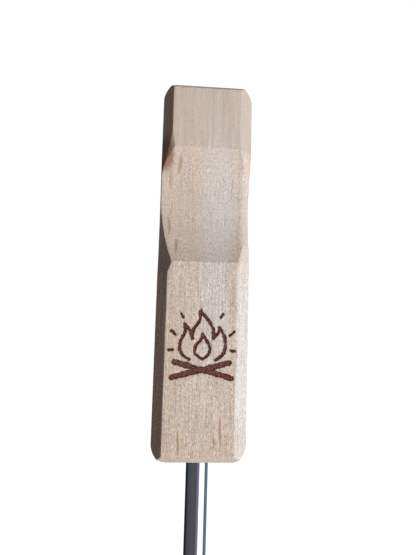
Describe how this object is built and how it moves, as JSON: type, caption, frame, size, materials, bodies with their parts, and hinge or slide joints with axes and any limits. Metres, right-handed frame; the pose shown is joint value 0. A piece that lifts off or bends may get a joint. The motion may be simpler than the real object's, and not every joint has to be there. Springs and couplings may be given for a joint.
{
  "type": "telescoping roasting fork",
  "caption": "Roasting fork with a chamfered wooden block handle, a thumb scoop, a telescoping steel shaft and two pointed prongs.",
  "frame": {"origin": "centre of the handle's flat back, on the surface the fork lies on", "axes": "+X across the handle, +Y from the points of the prongs to the butt of the handle, +Z out of the scooped front"},
  "size_m": [0.033, 0.3141, 0.025],
  "materials": {
    "maple_wood": "bare, finely sanded",
    "shaft_steel": "polished",
    "fork_steel": "drawn wire, lightly polished",
    "spring_bronze": "rolled strip",
    "black_nylon": "moulded"
  },
  "bodies": {
    "handle_and_tube": {"handle": "maple_wood", "outer_tube": "shaft_steel", "tube_plug": "black_nylon"},
    "shims_2": {"shim_2_left": "spring_bronze", "shim_2_right": "spring_bronze"},
    "tube_2": {"section_2": "shaft_steel"},
    "shims_3": {"shim_3_left": "spring_bronze", "shim_3_right": "spring_bronze"},
    "tube_3": {"section_3": "shaft_steel"},
    "shims_4": {"shim_4_left": "spring_bronze", "shim_4_right": "spring_bronze"},
    "tube_4": {"section_4": "shaft_steel"},
    "shims_5": {"shim_5_left": "spring_bronze", "shim_5_right": "spring_bronze"},
    "tube_5": {"section_5": "shaft_steel"},
    "shims_6": {"shim_6_left": "spring_bronze", "shim_6_right": "spring_bronze"},
    "fork_and_rod": {"end_rod": "shaft_steel", "fork_collar": "fork_steel", "fork_wire": "fork_steel"}
  },
  "joints": [
    {"name": "section_2_slide", "type": "slide", "parent": "handle_and_tube", "child": "shims_2", "axis": [0, -1, 0], "range_m": [0, 0.149]},
    {"name": "section_2_spin", "type": "hinge", "parent": "shims_2", "child": "tube_2", "pos_m": [0, 0.0264, 0.0125], "axis": [0, -1, 0], "continuous": true},
    {"name": "section_3_slide", "type": "slide", "parent": "tube_2", "child": "shims_3", "axis": [0, -1, 0], "range_m": [0, 0.15]},
    {"name": "section_3_spin", "type": "hinge", "parent": "shims_3", "child": "tube_3", "pos_m": [0, 0.0249, 0.0125], "axis": [0, -1, 0], "continuous": true},
    {"name": "section_4_slide", "type": "slide", "parent": "tube_3", "child": "shims_4", "axis": [0, -1, 0], "range_m": [0, 0.152]},
    {"name": "section_4_spin", "type": "hinge", "parent": "shims_4", "child": "tube_4", "pos_m": [0, 0.0234, 0.0125], "axis": [0, -1, 0], "continuous": true},
    {"name": "section_5_slide", "type": "slide", "parent": "tube_4", "child": "shims_5", "axis": [0, -1, 0], "range_m": [0, 0.153]},
    {"name": "section_5_spin", "type": "hinge", "parent": "shims_5", "child": "tube_5", "pos_m": [0, 0.0219, 0.0125], "axis": [0, -1, 0], "continuous": true},
    {"name": "end_rod_slide", "type": "slide", "parent": "tube_5", "child": "shims_6", "axis": [0, -1, 0], "range_m": [0, 0.155]},
    {"name": "end_rod_spin", "type": "hinge", "parent": "shims_6", "child": "fork_and_rod", "pos_m": [0, 0.0204, 0.0125], "axis": [0, -1, 0], "continuous": true}
  ]
}
